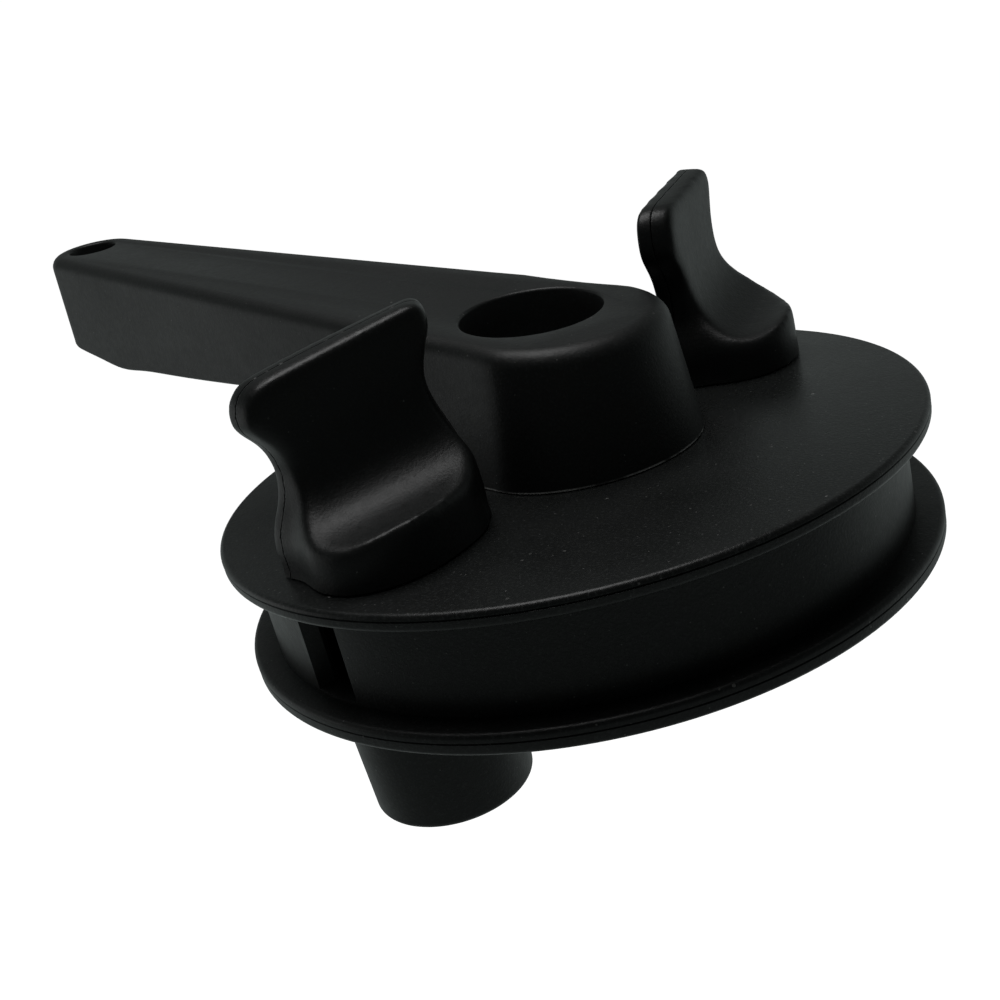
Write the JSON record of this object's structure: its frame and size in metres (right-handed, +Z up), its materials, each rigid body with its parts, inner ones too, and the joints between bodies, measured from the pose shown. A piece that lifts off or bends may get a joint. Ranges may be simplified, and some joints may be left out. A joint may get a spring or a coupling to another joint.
{
  "type": "line winder",
  "caption": "Flat two-flange line drum with a slotted wall, two thumb wings and an off-axis peg, turning under a long tapered lever with a bored hub.",
  "frame": {"origin": "on the hub axis, level with the top face of the drum's lid", "axes": "+Z up the hub axis, lever along -X, near wing and peg towards -Y"},
  "size_m": [0.183, 0.1, 0.0701],
  "materials": {
    "lever_plastic": "satin black moulding, fine even grain",
    "lid_plastic": "satin black moulding, fine even grain",
    "drum_plastic": "satin black moulding, fine even grain",
    "wing_plastic": "satin black moulding, a little smoother where the thumb rests",
    "peg_plastic": "satin black moulding, light rubbing marks round it",
    "bearing_plastic": "off-white bearing plastic, turned marks",
    "post_plastic": "dark grey bearing plastic",
    "steel": "plain steel, fine turned marks",
    "screw_steel": "black oxide"
  },
  "bodies": {
    "lever": {"lever_arm": "lever_plastic", "hub_sleeve": "steel", "upper_thrust_washer": "bearing_plastic", "lower_thrust_washer": "bearing_plastic", "wave_washer": "steel", "retaining_ring": "steel"},
    "drum": {"upper_flange": "lid_plastic", "drum_shell": "drum_plastic", "thumb_wing_near": "wing_plastic", "thumb_wing_far": "wing_plastic", "crank_washer": "steel", "upper_bush": "bearing_plastic", "lower_bush": "bearing_plastic", "crank_axle": "post_plastic", "flange_screw_1": "screw_steel", "flange_screw_2": "screw_steel", "flange_screw_3": "screw_steel", "flange_screw_4": "screw_steel", "wing_screw_near_1": "screw_steel", "wing_screw_near_2": "screw_steel", "wing_screw_far_1": "screw_steel", "wing_screw_far_2": "screw_steel", "crank_screw": "screw_steel"},
    "crank": {"crank_sleeve": "peg_plastic"}
  },
  "joints": [
    {"name": "drum_turn", "type": "hinge", "parent": "lever", "child": "drum", "pos_m": [0, 0, 0], "axis": [0, 0, 1], "range_deg": [-38, 18]},
    {"name": "crank_spin", "type": "hinge", "parent": "drum", "child": "crank", "pos_m": [0, -0.0333, -0.027], "axis": [0, 0, 1], "continuous": true}
  ]
}
